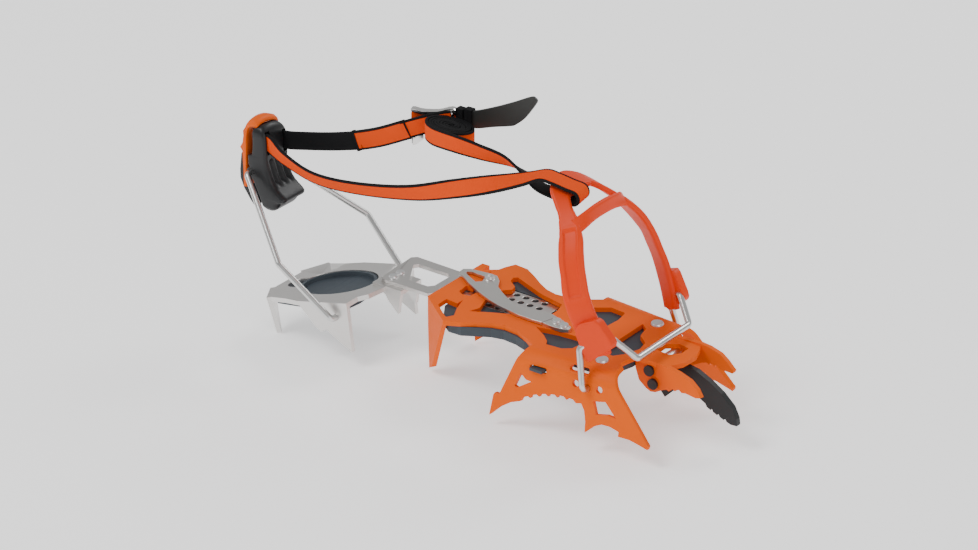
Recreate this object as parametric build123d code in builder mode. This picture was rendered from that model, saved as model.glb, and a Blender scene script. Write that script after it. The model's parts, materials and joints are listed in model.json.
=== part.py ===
from build123d import *
import os
from math import cos, radians, sin, tan

# A hinged mountaineering crampon: an orange front unit and a bare steel heel unit joined by a
# perforated linking bar, with a front wire bail and toe harness, a heel wire bail and lever,
# and a webbing ankle strap. Millimetres. While it is being modelled, X points to the toe,
# -Y is the outer side, +Z is up and the top of the front plate is z = 0. The last lines move the
# finished assembly so that the origin is at the centre of its footprint, on the ground.

# --- driving dimensions -------------------------------------------------------------------
PLATE = 3.0            # front and heel frame sheet
BAR_T = 2.5            # linking bar sheet
WIRE_R = 2.0           # bail wire radius
GAP = 0.3              # clearance between bodies that move against each other
RUN_FIT = 0.08         # radial play of a wire in the hole it turns in
HEAD_R = 3.4           # heads and spacers of the front point bolts
RIVET_R = 2.0
PITCH = 7.0            # hole pitch of the linking bar
BAR_HOLE_R = 2.1       # adjustment holes of the bar
SIDE_YAW = 5.0         # the side plates close towards the toe
SIDE_SPLAY = 12.0      # and open towards the ground
SHOULDER_R = 11.0      # outer bend radius between top plate and side plate
BAIL_HOLE_R = 2.25     # holes for the front bail
PIVOT = (94.0, -46.0, -11.4)      # the bail hole in use, near side
BAIL_STEP = 8.0        # distance between neighbouring bail holes
NOSE_Y = 3.0           # middle of the nose and the front point
HEEL_PITCH = 14.0      # the heel plate falls towards the rear
HEEL_X = -56.0         # where the heel plane would meet z = 0
HEEL_Y = -15.5         # middle of the heel plate
HEEL_HALF = 34.0       # half width of the heel plate
BAR_TOP = -PLATE - GAP
BAR_Y = 6.0            # middle of the linking bar
WEB = 12.0             # webbing width
WEB_T = 1.6            # webbing thickness
LEVER_Y = -22.5        # middle of the heel lever
AXLE = (-170.7, 52.6)  # x, z of the wire inside the heel lever

os.makedirs("parts", exist_ok=True)
pieces = {}

HEEL_DIR = Vector(cos(radians(HEEL_PITCH)), 0, sin(radians(HEEL_PITCH)))
HEEL_UP = Vector(-sin(radians(HEEL_PITCH)), 0, cos(radians(HEEL_PITCH)))
SIDE_DIR = Vector(cos(radians(SIDE_YAW)), sin(radians(SIDE_YAW)), 0)
SIDE_OUT = Vector(sin(radians(SIDE_YAW)), -cos(radians(SIDE_YAW)), 0)
SIDE_UP = (
    Vector(0, 0, 1) * cos(radians(SIDE_SPLAY)) - SIDE_OUT * sin(radians(SIDE_SPLAY))
)


def piece(name, builder):
    """Label a finished sub-part and keep it for placing."""
    builder.part.label = name
    pieces[name] = builder.part


def saw(start, end, count, depth, bow):
    """Points of a row of raked teeth from start to end along a shallow arch."""
    (x0, y0), (x1, y1) = start, end
    length = ((x1 - x0) ** 2 + (y1 - y0) ** 2) ** 0.5
    nx, ny = -(y1 - y0) / length, (x1 - x0) / length
    points = []
    for k in range(count):
        for share, drop in ((0.0, 0.0), (0.62, 0.1), (0.9, 1.0)):
            f = (k + share) / count
            off = 4 * bow * f * (1 - f) - drop * depth
            points.append((x0 + f * (x1 - x0) + nx * off, y0 + f * (y1 - y0) + ny * off))
    return points


def heel_point(along, y, up=0.0):
    """A point given on the heel plane: distance along it, y, and height over it."""
    return Vector(HEEL_X, y, 0) + HEEL_DIR * along + HEEL_UP * up


def band_planes(stations):
    """Section planes of a strap, from points with the lean of its width off the vertical."""
    points = [Vector(x, y, z) for x, y, z, _ in stations]
    planes = []
    for i, (_, _, _, lean) in enumerate(stations):
        ahead, behind = points[min(i + 1, len(points) - 1)], points[max(i - 1, 0)]
        way = (ahead - behind).normalized()
        wide = Vector(0, -sin(radians(lean)), cos(radians(lean)))
        wide = (wide - way * wide.dot(way)).normalized()
        planes.append(Plane(origin=points[i], x_dir=wide, z_dir=way))
    return planes


def wire_path(points, radius):
    """Corner points joined by straight runs and bends of one radius."""
    return FilletPolyline(*points, radius=radius)


NEAR_SIDE = Plane(origin=PIVOT, x_dir=SIDE_DIR, z_dir=SIDE_DIR.cross(SIDE_UP))
HEEL = Plane(origin=(HEEL_X, 0, 0), x_dir=HEEL_DIR, z_dir=HEEL_UP)
HEEL_MIRROR = Plane.XZ.offset(-HEEL_Y)

# where the front bail turns, and where its top corners and front bar lie (near side)
BAIL_LEG_Y = -50.6
BAIL_HALF = [
    (PIVOT[0], -42.0, PIVOT[2]), (PIVOT[0], BAIL_LEG_Y, PIVOT[2]), (88, -46, 14),
    (104.5, -36, 20.5), (117, -27.5, 7.7),
]

# --- near side plate: shoulder bend, flat side, spikes and windows ------------------------
drop = -PIVOT[2] - SHOULDER_R * (1 - sin(radians(SIDE_SPLAY)))
fold_w = -SHOULDER_R * cos(radians(SIDE_SPLAY)) - drop * tan(radians(SIDE_SPLAY))
LEG = 40.0             # length of the flat side below the bail hole
SHOULDER_LAP = 6.0     # how far the shoulder reaches over the top plate
splay_c, splay_s = cos(radians(SIDE_SPLAY)), sin(radians(SIDE_SPLAY))
foot = (LEG * splay_s, PIVOT[2] - LEG * splay_c)
inner_r = SHOULDER_R - PLATE
section_plane = Plane(
    origin=(PIVOT[0], PIVOT[1], 0), x_dir=SIDE_OUT, z_dir=SIDE_DIR * -1
)
side_outline = (
    [(-44, 26), (-44, 16), (-49, 7), (-58.4, -18.6), (-61.5, -18.4), (-62.3, -20)]
    + [(-63.6, -33.1), (-57, -26.5), (-49.7, -21.6), (-43.5, -19.3)]
    + saw((-42.5, -16.8), (-6, -9.4), 6, 1.7, 3.2)
    + [(-2.8, -10.2), (-0.3, -13.9), (1.4, -20.6), (1.8, -27.2), (7.4, -21.9)]
    + [(12.5, -19.5), (18, -19.5), (24.1, -21.1), (24.1, -24), (31.8, -24.1)]
    + [(39.8, -25.9), (44.2, -27.1), (44.7, -25), (38.7, -18), (20.4, 2.9)]
    + [(16.5, 9), (14, 14), (13, 26)]
)
rear_window = [(-45.4, -2.1), (-41.5, -5.2), (-37.7, -5.6), (-46.9, -11.5), (-48.6, -10.9)]
front_window = [(4.9, -6.7), (9, -6.2), (13.1, -5.3), (21.3, -13.6), (15.5, -13), (7.9, -14.5)]

with BuildPart() as near_side:
    with BuildSketch(section_plane):
        with BuildLine():
            outer_bend = CenterArc((fold_w, -SHOULDER_R), SHOULDER_R, 90, SIDE_SPLAY - 90)
            inner_bend = CenterArc((fold_w, -SHOULDER_R), inner_r, 90, SIDE_SPLAY - 90)
            Line((fold_w - SHOULDER_LAP, 0), outer_bend @ 0)
            Line(outer_bend @ 1, foot)
            Line(foot, (foot[0] - PLATE * splay_c, foot[1] - PLATE * splay_s))
            Line((foot[0] - PLATE * splay_c, foot[1] - PLATE * splay_s), inner_bend @ 1)
            Line(inner_bend @ 0, (fold_w - SHOULDER_LAP, -PLATE))
            Line((fold_w - SHOULDER_LAP, -PLATE), (fold_w - SHOULDER_LAP, 0))
        make_face()
    extrude(amount=80, both=True)
    with BuildSketch(NEAR_SIDE):
        Polygon(*side_outline, align=None)
        for window in (rear_window, front_window):
            Polygon(*window, align=None, mode=Mode.SUBTRACT)
        with Locations((-BAIL_STEP, 0.8), (BAIL_STEP, 0.8)):
            Circle(BAIL_HOLE_R, mode=Mode.SUBTRACT)
    extrude(amount=30, both=True, mode=Mode.INTERSECT)
    with BuildSketch(NEAR_SIDE):
        with Locations((-34, 3.2)):
            RectangleRounded(11.5, 3.4, 1.2)
        with Locations((-7.5, 9.2)):
            RectangleRounded(13, 3.6, 1.6)
    extrude(amount=8, both=True, mode=Mode.SUBTRACT)

# --- front frame: orange sheet with openings, both sides, rear spikes and nose wings ------
top_outline = (
    [(-41.6, -22.6), (-28, -33.2), (-14, -44), (-4, -39), (4, -33.5), (12, -29), (20, -27)]
    + [(30, -28), (40, -32.5), (49.2, -38.4), (106, -33.5), (104, -24.5), (106, -14)]
    + [(120, -13), (130, -11), (134, -4), (135, 8), (132, 17), (127.5, 25), (119.6, 23.5)]
    + [(108, 20), (104, 25), (106, 33.5), (49.2, 38.4), (40, 31.5), (30, 27), (20, 26)]
    + [(12, 28), (4, 32.5), (-4, 38), (-14, 44), (-24, 45), (-27, 38), (-30, 26)]
    + [(-36, 27), (-36, 34), (-41.6, 34)]
)
openings = {
    "rear_near": [(-24, -35.5), (-29.5, -29.5), (-30, -19), (-21, -20), (-21, -14)]
    + [(-17.5, -25), (-13, -34), (-15.5, -38.5)],
    "rear_mid": [(-30, -6), (-31, 3), (-26, 3), (-26, 6), (-20, 2), (-21, -7), (-26, -8)],
    "centre": [(-12, 31), (-14, 29), (-13, 24.5), (-6, 19.5), (-5, 15), (-9, 11), (-11, -3)]
    + [(-6.3, -16.9), (-9, -24), (2, -18), (14, -12), (31, -12.5), (34, -4), (34, 8)]
    + [(31.5, 16.7), (14, 20.6), (0, 26)],
    "near_mid": [(36, -17), (50, -14), (70, -12.5), (71, -20), (70, -27), (64, -32)]
    + [(63.5, -35), (54.5, -35), (54, -32), (52, -28), (46, -23)],
    "far_mid": [(46, 15), (70, 9), (71, 20), (69, 30), (58, 31), (50, 25)],
    "front": [(86, -20), (86, 24), (91, 20), (93.5, 10.5), (101, 4.5), (103, -4), (100, -14)]
    + [(95, -21)],
    "nose": [(112, 1), (121, 0), (126, 6), (126, 14), (118, 15), (112, 10)],
}
LOCK_AT = (-23.3, 16.5)                     # lock pin, over the far row of bar holes
LEVER_RIVETS = [(44.5, -7.4), (51.5, -9.8)]  # foot of the lock lever
DECK_RIVETS = [(93, -29.3), (93, 29.3)]
PIN_SLOT_R = 3.2                            # opening in the plate round the lock pin

spike_dir = (Vector(-14, -44, 0) - Vector(-41.6, -22.6, 0)).normalized()
rear_spike = [(0, 0), (34.5, 0), (32.8, -3.5), (8.5, -44.5), (2, -48.4), (0, -20)]
wing_yaw = -9.0
wing_dir = Vector(cos(radians(wing_yaw)), sin(radians(wing_yaw)), 0)
WING_ROOT = Vector(112, -11.5, 0)
NOSE_BOLTS = [(4.1, -6.6), (7.3, -14.4)]    # in the wing's own plane
bolt_spots = [WING_ROOT + wing_dir * s + Vector(0, 0, z) for s, z in NOSE_BOLTS]
near_wing = (
    [(-8, 0), (-8, -9), (-5, -16.5), (1, -20), (4.5, -21), (8.5, -20)]
    + saw((14.3, -16.4), (29.4, -11.2), 3, 1.5, 1.0)
    + [(32.7, -11.8), (40.6, -12), (44.4, -10.6), (41.3, -6.3), (35.6, -2.5), (26, -0.6)]
    + [(19, 0)]
)
far_root = Vector(128, 24, 0)
far_wing_dir = Vector(cos(radians(-3)), sin(radians(-3)), 0)
far_wing = (
    [(-16, 0), (-16, -12), (-9, -20), (-3, -15), (3, -11)]
    + saw((5, -10.4), (17, -9.8), 3, 1.5, 0.6)
    + [(21, -11), (25.8, -11), (26.6, -9.4), (21.4, -4.6), (16.4, -1.2), (8.2, 0.8), (2, 1.2)]
)

with BuildPart() as front_frame:
    with BuildSketch():
        Polygon(*top_outline, align=None)
        for shape in openings.values():
            Polygon(*shape, align=None, mode=Mode.SUBTRACT)
    extrude(amount=-PLATE)
    add(near_side.part)
    mirror(near_side.part, about=Plane.XZ)
    corner = Plane(origin=(-41.6, -22.6, 0), x_dir=spike_dir, z_dir=spike_dir.cross(Vector(0, 0, 1)))
    with BuildSketch(corner):
        Polygon(*rear_spike, align=None)
    near_spike = extrude(amount=-PLATE)
    mirror(near_spike, about=Plane.XZ)
    wing = Plane(origin=WING_ROOT, x_dir=wing_dir, z_dir=wing_dir.cross(Vector(0, 0, 1)))
    with BuildSketch(wing):
        Polygon(*near_wing, align=None)
    extrude(amount=-PLATE)
    far = Plane(origin=far_root, x_dir=far_wing_dir, z_dir=far_wing_dir.cross(Vector(0, 0, 1)))
    with BuildSketch(far):
        Polygon(*far_wing, align=None)
    extrude(amount=PLATE)
    with BuildSketch():
        with Locations(LOCK_AT):
            Circle(PIN_SLOT_R)
        with Locations(*LEVER_RIVETS, *DECK_RIVETS):
            Circle(RIVET_R)
    extrude(amount=-PLATE, mode=Mode.SUBTRACT)
    with BuildSketch(Plane.XZ):
        with Locations((PIVOT[0], PIVOT[2])):
            Circle(WIRE_R + RUN_FIT)
    extrude(amount=70, both=True, mode=Mode.SUBTRACT)
    with BuildSketch(Plane.XZ.offset(-WING_ROOT.Y)):
        with Locations(*[(spot.X, spot.Z) for spot in bolt_spots]):
            Circle(RIVET_R)
    extrude(amount=10, both=True, mode=Mode.SUBTRACT)
piece("front_frame", front_frame)

# --- linking bar: window at the rear, perforated strip under the front plate --------------
BAR_END = -85.0
BAR_NECK = -45.0       # the wide window section ends here
BAR_TIP = 29.0
bar_outline = (
    [(BAR_END, -13), (-81, -14.5), (-48, -14.5), (-43, -8), (BAR_TIP - 3, -8), (BAR_TIP, -5)]
    + [(BAR_TIP, 17), (BAR_TIP - 3, 20), (-43, 20), (-48, 22), (-84, 23), (BAR_END - 2, 20)]
)
bar_window = [(-68, -6.5), (-54, -6.5), (-51, -3), (-51, 12), (-54, 15), (-77, 15), (-79, 12)]
BAR_ROWS = (16.5, 9.5, 2.5, -4.5)
BAR_RIVETS = [(-79, -8.5), (-79, -1.5)]
with BuildPart() as linking_bar:
    with BuildSketch(Plane.XY.offset(BAR_TOP)):
        Polygon(*bar_outline, align=None)
        Polygon(*bar_window, align=None, mode=Mode.SUBTRACT)
        for row, y in enumerate(BAR_ROWS):
            for k in range(-3 if row in (0, 3) else -2, 7):
                with Locations((LOCK_AT[0] + PITCH * k + (0.9 if row % 2 else 0), y)):
                    Circle(BAR_HOLE_R, mode=Mode.SUBTRACT)
        with Locations(*BAR_RIVETS):
            Circle(RIVET_R, mode=Mode.SUBTRACT)
    extrude(amount=-BAR_T)
piece("linking_bar", linking_bar)

# --- bar guide: a channel welded under the rear of the front plate ------------------------
GUIDE_T = 1.8
guide_top = BAR_TOP - BAR_T - GAP
GUIDE_X = (-36.5, -29.3)
CHANNEL = 29.0         # inside width of the guide and of the channel in the anti-balling plate
with BuildPart() as bar_guide:
    with BuildSketch(Plane(origin=(GUIDE_X[0], BAR_Y, 0), x_dir=(0, 1, 0), z_dir=(1, 0, 0))):
        with Locations((0, guide_top - GUIDE_T)):
            Rectangle(CHANNEL + 2 * GUIDE_T, GUIDE_T, align=(Align.CENTER, Align.MIN))
        for side in (-1, 1):
            with Locations((side * (CHANNEL + GUIDE_T) / 2, guide_top - GUIDE_T)):
                Rectangle(GUIDE_T, -PLATE - guide_top + GUIDE_T, align=(Align.CENTER, Align.MIN))
    extrude(amount=GUIDE_X[1] - GUIDE_X[0])
piece("bar_guide", bar_guide)

# --- front anti-balling plate --------------------------------------------------------------
ANTIBALL_LOW = -9.0
antiball_outline = (
    [(-29, -22), (-21.5, -33.4), (-13, -39.6), (-4, -39.4), (4, -34.8), (12, -30.4), (20, -28.4)]
    + [(30, -29.4), (38, -32), (52, -33), (101, -31.5), (100, -23), (103, -12), (103.6, 3)]
    + [(103, 18), (100, 23), (101, 31.5), (52, 33), (38, 31), (30, 26), (20, 25.4)]
    + [(12, 27.6), (4, 32), (-4, 36.5), (-13, 39.6), (-21.5, 33.4), (-29, 28)]
)
with BuildPart() as front_antiball:
    with BuildSketch(Plane.XY.offset(-PLATE)):
        Polygon(*antiball_outline, align=None)
    extrude(amount=ANTIBALL_LOW + PLATE)
    with BuildSketch(Plane.XY.offset(-PLATE)):
        with Locations((-32, BAR_Y)):
            Rectangle(84, CHANNEL, align=(Align.MIN, Align.CENTER))
    extrude(amount=guide_top + PLATE, mode=Mode.SUBTRACT)
    with BuildSketch(Plane.XY.offset(ANTIBALL_LOW)):
        with Locations((44, 0), (70, 0)):
            RectangleRounded(16, 46, 4)
        with Locations((6, -19)):
            RectangleRounded(30, 8, 3)
    extrude(amount=1.6, mode=Mode.SUBTRACT)
    with BuildSketch(Plane.XY.offset(-PLATE)):
        with Locations(*LEVER_RIVETS, *DECK_RIVETS):
            Circle(RIVET_R)
    extrude(amount=-12, mode=Mode.SUBTRACT)
    with BuildSketch(Plane.XY.offset(-9.3)):
        for side in (-1, 1):
            with Locations((60, side * 41)):
                Rectangle(9, 20)
    extrude(amount=1.8)
piece("front_antiball", front_antiball)

# --- front point: one toothed blade between the wings, with its bolts, nuts and spacers -----
POINT_T = 4.0
point_outline = (
    [(104, -4.5), (131, -4.3), (140, -5.7), (149, -9.9), (158, -15.5), (165.7, -22.4)]
    + [(169, -29), (169.6, -33.5)]
    + saw((165, -33.8), (146, -26.4), 4, 1.4, 0.4)
    + [(142, -22.6), (134, -20.5), (125.4, -22.4), (118.1, -29.9), (113, -24), (104, -20)]
)
with BuildPart() as front_point:
    with BuildSketch(Plane.XZ.offset(-NOSE_Y)):
        Polygon(*point_outline, align=None)
        with Locations(*[(p.X, p.Z) for p in bolt_spots]):
            Circle(RIVET_R, mode=Mode.SUBTRACT)
    extrude(amount=POINT_T / 2, both=True)
piece("front_point", front_point)

with BuildPart() as point_bolts:
    for spot in bolt_spots:
        with BuildSketch(Plane(origin=(spot.X, spot.Y - 0.7, spot.Z), z_dir=(0, -1, 0))):
            Circle(HEAD_R)
        extrude(amount=1.6)
        with BuildSketch(Plane(origin=(spot.X, spot.Y - 0.7, spot.Z), z_dir=(0, 1, 0))):
            Circle(RIVET_R)
        extrude(amount=30)
piece("point_bolts", point_bolts)

with BuildPart() as point_spacers:
    for spot in bolt_spots:
        for start, end in ((spot.Y + 4.2, NOSE_Y - POINT_T / 2), (NOSE_Y + POINT_T / 2, 14.5)):
            with BuildSketch(Plane(origin=(spot.X, start, spot.Z), z_dir=(0, 1, 0))):
                Circle(HEAD_R)
                Circle(RIVET_R, mode=Mode.SUBTRACT)
            extrude(amount=end - start)
piece("point_spacers", point_spacers)

with BuildPart() as point_nuts:
    for spot in bolt_spots:
        with BuildSketch(Plane(origin=(spot.X, 14.5, spot.Z), z_dir=(0, 1, 0))):
            RegularPolygon(radius=3.5, side_count=6)
            Circle(RIVET_R, mode=Mode.SUBTRACT)
        extrude(amount=3)
piece("point_nuts", point_nuts)

# --- rivets of the front unit ----------------------------------------------------------------
LEVER_T = 2.0
LEVER_Z = 0.4          # gap under the lock lever
with BuildPart() as deck_rivets:
    with BuildSketch(Plane.XY.offset(ANTIBALL_LOW)):
        with Locations(*DECK_RIVETS):
            Circle(RIVET_R)
    extrude(amount=-ANTIBALL_LOW)
    with BuildSketch():
        with Locations(*DECK_RIVETS):
            Circle(4.2)
    extrude(amount=1.2, taper=25)
piece("deck_rivets", deck_rivets)

lever_base = [(57, -12.5), (56, -8.5), (47, -4.2), (41.6, -2.6), (38.4, -13.9), (46, -14.6)]
lever_base += [(52, -14.4)]
with BuildPart() as lever_foot:
    with BuildSketch():
        Polygon(*lever_base, align=None)
        with Locations(*LEVER_RIVETS):
            Circle(RIVET_R, mode=Mode.SUBTRACT)
    extrude(amount=LEVER_Z + LEVER_T)
piece("lever_foot", lever_foot)

with BuildPart() as lever_rivets:
    with BuildSketch(Plane.XY.offset(-PLATE)):
        with Locations(*LEVER_RIVETS):
            Circle(RIVET_R)
    extrude(amount=PLATE + LEVER_Z + LEVER_T)
    with BuildSketch(Plane.XY.offset(LEVER_Z + LEVER_T)):
        with Locations(*LEVER_RIVETS):
            Circle(3.2)
    extrude(amount=1.2, taper=25)
piece("lever_rivets", lever_rivets)

# --- lock lever: spring steel strip with a finger loop and the lock pin -----------------------
lever_outline = (
    [(41.2, -2.5), (35, -0.6), (27, -1.6), (18.6, -4.0), (10, -3.2), (2, 0.6), (-6, 5.5)]
    + [(-12, 10), (-16, 17), (-21, 21.5), (-27, 21.5), (-40, 19.8), (-44, 17), (-43.5, 12.5)]
    + [(-30, 3.5), (-17.7, -3), (-6, -8), (2.7, -10.6), (18.5, -13.7), (30, -14.2), (38, -13.9)]
)
finger_loop = [(-26.5, 16.2), (-37, 16.8), (-40, 15), (-38, 12.6), (-27, 7), (-24, 10)]
with BuildPart() as lock_lever:
    with BuildSketch(Plane.XY.offset(LEVER_Z)):
        Polygon(*lever_outline, align=None)
        Polygon(*finger_loop, align=None, mode=Mode.SUBTRACT)
        with Locations(LOCK_AT):
            Circle(RIVET_R, mode=Mode.SUBTRACT)
    extrude(amount=LEVER_T)
piece("lock_lever", lock_lever)

with BuildPart() as lock_pin:
    with BuildSketch(Plane.XY.offset(BAR_TOP + GAP)):
        with Locations(LOCK_AT):
            Circle(RIVET_R)
    extrude(amount=LEVER_Z + LEVER_T - BAR_TOP - GAP)
    with BuildSketch(Plane.XY.offset(LEVER_Z + LEVER_T)):
        with Locations(LOCK_AT):
            Circle(3.4)
            Circle(1.1, mode=Mode.SUBTRACT)
    extrude(amount=1.4, taper=20)
piece("lock_pin", lock_pin)

# --- front bail: one steel wire, pivoting in both side plates ----------------------------------
bail_points = BAIL_HALF + [(x, -y, z) for x, y, z in reversed(BAIL_HALF)]
with BuildPart() as front_bail:
    with BuildLine():
        bail_path = wire_path(bail_points, 3.2)
    with BuildSketch(Plane(origin=bail_points[0], z_dir=(0, -1, 0))):
        Circle(WIRE_R)
    sweep(path=bail_path)
piece("front_bail", front_bail)

# --- toe harness: arch of two twisted arms, a cross strap and a thick block at each foot ------------
HARNESS_T = 3.8
FOOT_TOP = 40.0        # above the top of the foot blocks
harness_front = [
    (103.5, -35.5, 11.5), (100.9, -36, 20.6), (97, -37.6, 29.3), (93.1, -38.4, 37.5),
    (89.1, -37.8, 46), (86.4, -36.6, 53.4), (83.4, -34.6, 61), (80.5, -31.8, 67.5),
    (77, -27.6, 73.5), (70.4, -22, 80), (63.2, -17.5, 85), (58.8, -13.5, 88.2), (57.4, -9, 90),
    (56.8, -3.5, 91.4),
]
harness_rear = [
    (90.5, -42.6, 5), (86.2, -44, 17.5), (82, -45, 27.5), (78, -45.6, 36.5),
    (74.2, -44.6, 45.5), (71.4, -42.2, 54), (67.4, -38.6, 61.5), (64, -34, 68.5),
    (60.5, -28.8, 75.5), (55, -23, 82.6), (48.6, -18, 88), (44, -13.5, 91.6), (41, -9, 94),
    (39, -3.5, 95.5),
]
CROSS_TALL = 8.6
cross_half = [(70.8, -22.5, 79.6), (71, -19, 80.9), (71.3, -12, 82.3), (71.5, -5, 83.1)]
foot_plan = [(85.5, -42.3), (88, -47.2), (107.7, -41.5), (107.7, -39), (101, -34.3)]
foot_side = [
    (94.5, 5.5), (107.6, 16.8), (107.8, 19.4), (104.5, 24), (98.1, 34), (87, 29), (86, 22), (91, 9),
]
AXLE_AT = (98.2, 18.1)                    # x, z where the harness rocks on the wire
ROCK_PLAY = 0.4
wire_foot, wire_a, wire_b, wire_c = [Vector(*point) for point in BAIL_HALF[1:]]


def mirrored(points):
    """Points of the near half, followed by their mirror images in reverse order."""
    return points + [(x, -y, z) for x, y, z in reversed(points)]


def rocked(point, angle):
    """A point of the bail as the harness sees it when it rocks by an angle."""
    dx, dz = point.X - AXLE_AT[0], point.Z - AXLE_AT[1]
    c, s = cos(radians(angle)), sin(radians(angle))
    return Vector(AXLE_AT[0] + dx * c + dz * s, point.Y, AXLE_AT[1] - dx * s + dz * c)


arch = []
for front, rear in zip(mirrored(harness_front), mirrored(harness_rear)):
    front, rear = Vector(*front), Vector(*rear)
    arch.append(((front + rear) / 2, front - rear))
cross_across = Vector(-0.24, 0, 0.97) * CROSS_TALL
cross = [(Vector(*point), cross_across) for point in mirrored(cross_half)]
with BuildPart() as toe_harness:
    with BuildSketch():
        Polygon(*foot_plan, align=None)
    extrude(amount=FOOT_TOP)
    with BuildSketch(Plane.XZ):
        Polygon(*foot_side, align=None)
    extrude(amount=60, both=True, mode=Mode.INTERSECT)
    mirror(about=Plane.XZ)
    for stations in (arch, cross):
        for i, (middle, across) in enumerate(stations):
            way = stations[min(i + 1, len(stations) - 1)][0] - stations[max(i - 1, 0)][0]
            wide = across - way * (across.dot(way) / way.dot(way))
            with BuildSketch(Plane(origin=middle, x_dir=wide, z_dir=way)):
                Rectangle(wide.length, HARNESS_T)
        loft(ruled=True)
    for side in (-1, 1):
        for angle in (-12, -8, -4, 0, 3):
            for start, end in ((wire_foot, wire_a), (wire_a, wire_b), (wire_b, wire_c)):
                start, end = rocked(start, angle), rocked(end, angle)
                origin = Vector(start.X, -side * start.Y, start.Z)
                way = Vector(end.X, -side * end.Y, end.Z) - origin
                with BuildSketch(Plane(origin=origin - way.normalized(), z_dir=way)):
                    Circle(WIRE_R + ROCK_PLAY)
                extrude(amount=way.length + 2, mode=Mode.SUBTRACT)
piece("toe_harness", toe_harness)

# --- heel frame: pitched plate with folded blades, and a level tongue under the bar ------------
def both_sides(points):
    """Mirror a half outline (y < HEEL_Y) to the other side, keeping the order."""
    return points + [(a, 2 * HEEL_Y - y) for a, y in reversed(points)]


near_y = HEEL_Y - HEEL_HALF
heel_half = [(-22.5, -21), (-24.5, -33), (-29.5, -38), (-29.3, near_y), (-68.5, near_y)]
heel_half += [(-82, -46.5), (-94.5, -45.3), (-105, -29)]
blade_b = [(-70, 0), (-58.3, -16.8), (-55.1, -20), (-50.1, -18.4), (-33.1, -32.7)]
blade_b += [(-30.8, -14), (-29.5, -4.2), (-29.5, 0)]
HEEL_PIVOT = (-40.3, -9.6)
blade_c = [(-80.5, -5.9), (-66, -5.9), (-66.5, -9), (-68.4, -22.4), (-76, -15), (-79.5, -9)]
TONGUE_TOP = BAR_TOP - BAR_T
RIVET_GRIP = 14.0      # depth cleared for the rivets below the bar
heel_hole = heel_point(HEEL_PIVOT[0], 0, HEEL_PIVOT[1])
with BuildPart() as heel_frame:
    with BuildSketch(HEEL):
        Polygon(*both_sides(heel_half), align=None)
        with Locations((-63, HEEL_Y)):
            Ellipse(28, 21.5, mode=Mode.SUBTRACT)
        with Locations((-86, HEEL_Y - 4)):
            RectangleRounded(26, 16, 7, mode=Mode.SUBTRACT)
    extrude(amount=-PLATE)
    near_blade = Plane(origin=(HEEL_X, near_y, 0), x_dir=HEEL_DIR, z_dir=(0, -1, 0))
    with BuildSketch(near_blade):
        Polygon(*blade_b, align=None)
    side_blade = extrude(amount=-PLATE)
    mirror(side_blade, about=HEEL_MIRROR)
    corner_a, corner_b = heel_point(-94.5, -45.3), heel_point(-105, -29)
    corner_way = (corner_b - corner_a).normalized()
    rear_blade = Plane(origin=corner_a, x_dir=corner_way, z_dir=corner_way.cross(HEEL_UP))
    with BuildSketch(rear_blade):
        Polygon((0, 0), (19.4, 0), (16.5, -9), (10.5, -26.7), (8, -26.7), (3, -9), align=None)
    rear_spikes = extrude(amount=-PLATE)
    mirror(rear_spikes, about=HEEL_MIRROR)
    with BuildSketch(Plane.XY.offset(TONGUE_TOP)):
        Polygon((-88, -18), (-66, -18), (-66, 3), (-88, 3), align=None)
    extrude(amount=-PLATE)
    for y in (-18, 0):
        with BuildSketch(Plane.XZ.offset(-y)):
            Polygon(*blade_c, align=None)
        extrude(amount=-PLATE)
    with BuildSketch(Plane.XY.offset(TONGUE_TOP)):
        Rectangle(400, 400)
    extrude(amount=20, mode=Mode.SUBTRACT)
    with BuildSketch(Plane.XY.offset(TONGUE_TOP)):
        with Locations(*BAR_RIVETS):
            Circle(RIVET_R)
    extrude(amount=-RIVET_GRIP, mode=Mode.SUBTRACT)
    with BuildSketch(Plane.XZ):
        with Locations((heel_hole.X, heel_hole.Z)):
            Circle(WIRE_R + RUN_FIT)
    extrude(amount=80, both=True, mode=Mode.SUBTRACT)
piece("heel_frame", heel_frame)

with BuildPart() as bar_rivets:
    with BuildSketch(Plane.XY.offset(TONGUE_TOP - PLATE)):
        with Locations(*BAR_RIVETS):
            Circle(RIVET_R)
    extrude(amount=PLATE + BAR_T)
    with BuildSketch(Plane.XY.offset(BAR_TOP)):
        with Locations(*BAR_RIVETS):
            Circle(3.0)
    extrude(amount=1.1, taper=25)
piece("bar_rivets", bar_rivets)

# --- heel anti-balling dish under the heel plate -------------------------------------------------
dish_half = [(-32, -24), (-30.5, -35.5), (-32.5, -46), (-68.5, -46), (-82, -44), (-93, -42)]
dish_half += [(-101.5, -28)]
with BuildPart() as heel_antiball:
    with BuildSketch(HEEL.offset(-PLATE)):
        Polygon(*both_sides(dish_half), align=None)
    extrude(amount=-2.4)
    with BuildSketch(HEEL.offset(-PLATE)):
        with Locations((-63, HEEL_Y)):
            Ellipse(27.2, 20.7)
            Ellipse(25.2, 18.7, mode=Mode.SUBTRACT)
    extrude(amount=2.6)
piece("heel_antiball", heel_antiball)

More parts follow.
